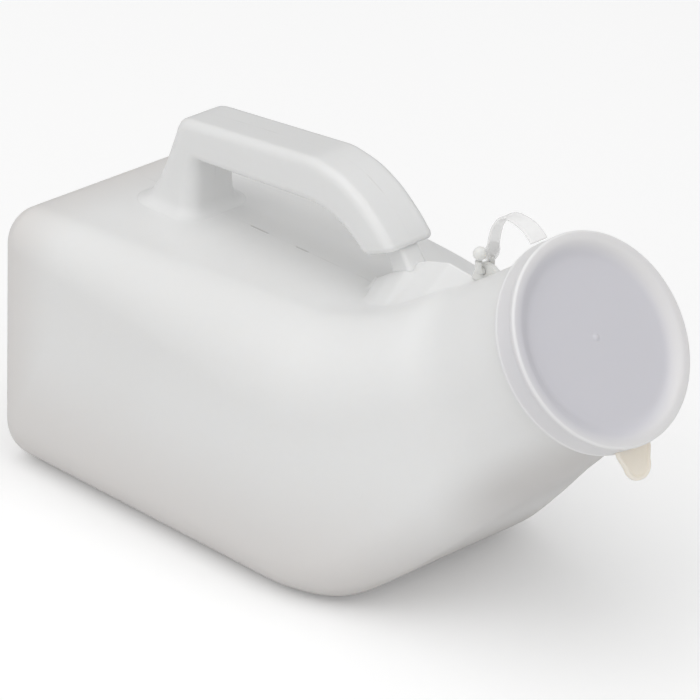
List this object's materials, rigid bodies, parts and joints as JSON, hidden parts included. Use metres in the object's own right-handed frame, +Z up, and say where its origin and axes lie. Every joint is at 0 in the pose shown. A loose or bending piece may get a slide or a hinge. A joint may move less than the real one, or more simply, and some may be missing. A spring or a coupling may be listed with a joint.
{
  "type": "urine bottle",
  "caption": "Male urinal bottle with an upturned round neck, an arched handle and a tethered snap lid that flips open.",
  "frame": {"origin": "centre of the flat resting face under the chamber, on the symmetry plane", "axes": "+X from the back wall towards the mouth, +Z up from the resting face, +Y across the bottle"},
  "size_m": [0.2228, 0.1004, 0.127],
  "materials": {
    "bottle_polyethylene": "satin, milky translucent natural polyethylene",
    "lid_polyethylene": "satin, milky translucent natural polyethylene",
    "tether_polyethylene": "thin, clear translucent natural polyethylene"
  },
  "bodies": {
    "bottle": {"chamber": "bottle_polyethylene", "shoulder": "bottle_polyethylene", "bottle_neck": "bottle_polyethylene", "mouth_lip": "bottle_polyethylene", "handle_leg": "bottle_polyethylene", "handle_grip": "bottle_polyethylene", "handle_stem": "bottle_polyethylene", "shoulder_boss": "bottle_polyethylene", "tether_lug": "bottle_polyethylene", "tether_stud": "tether_polyethylene"},
    "lid": {"lid_rim": "lid_polyethylene", "lid_skirt": "lid_polyethylene", "lid_plug": "lid_polyethylene", "lid_disc": "lid_polyethylene", "pull_tab": "tether_polyethylene", "tether_strap": "tether_polyethylene"}
  },
  "joints": [
    {"name": "lid_flip", "type": "hinge", "parent": "bottle", "child": "lid", "pos_m": [0.10439, 0, 0.12793], "axis": [0, -1, 0], "range_deg": [0, 120], "deforming": ["tether_strap"]}
  ]
}
